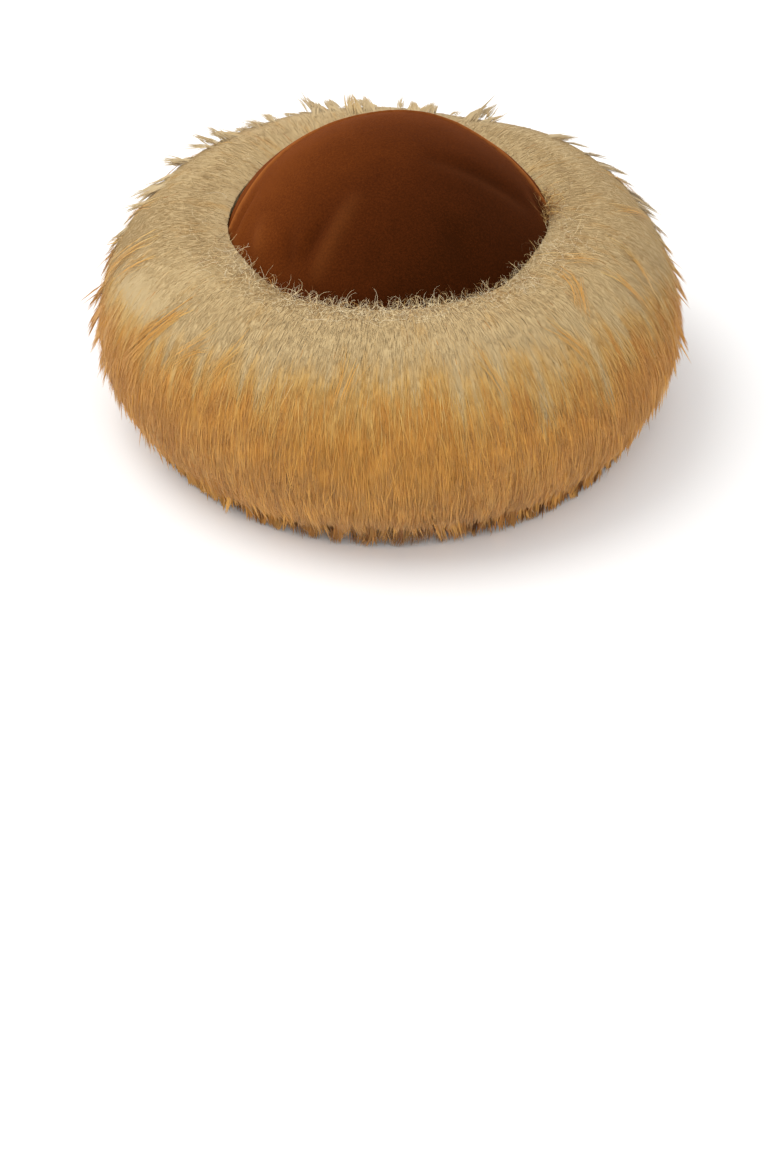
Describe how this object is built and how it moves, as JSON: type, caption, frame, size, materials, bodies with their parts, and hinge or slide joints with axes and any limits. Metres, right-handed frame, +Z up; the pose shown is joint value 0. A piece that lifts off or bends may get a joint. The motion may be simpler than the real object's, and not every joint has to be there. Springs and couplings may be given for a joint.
{
  "type": "fur hat",
  "caption": "Round soft hat for the head: a domed suede crown of two panels, seamed from side to side, inside a deep ring of long fur.",
  "frame": {"origin": "on the surface that the hat rests on, under the middle of its outline from above", "axes": "+Z up through the crown, +Y from the side that the picture shows towards the far side, +X to the right of that view"},
  "size_m": [0.3556, 0.3732, 0.177],
  "materials": {
    "crown_suede": "matt brushed brown suede with a fine short nap",
    "fur": "long straight fur, cream near the crown and golden to orange brown at its lower edge"
  },
  "bodies": {
    "root": {"crown_front_panel": "crown_suede", "crown_back_panel": "crown_suede", "fur_band": "fur"}
  },
  "joints": []
}
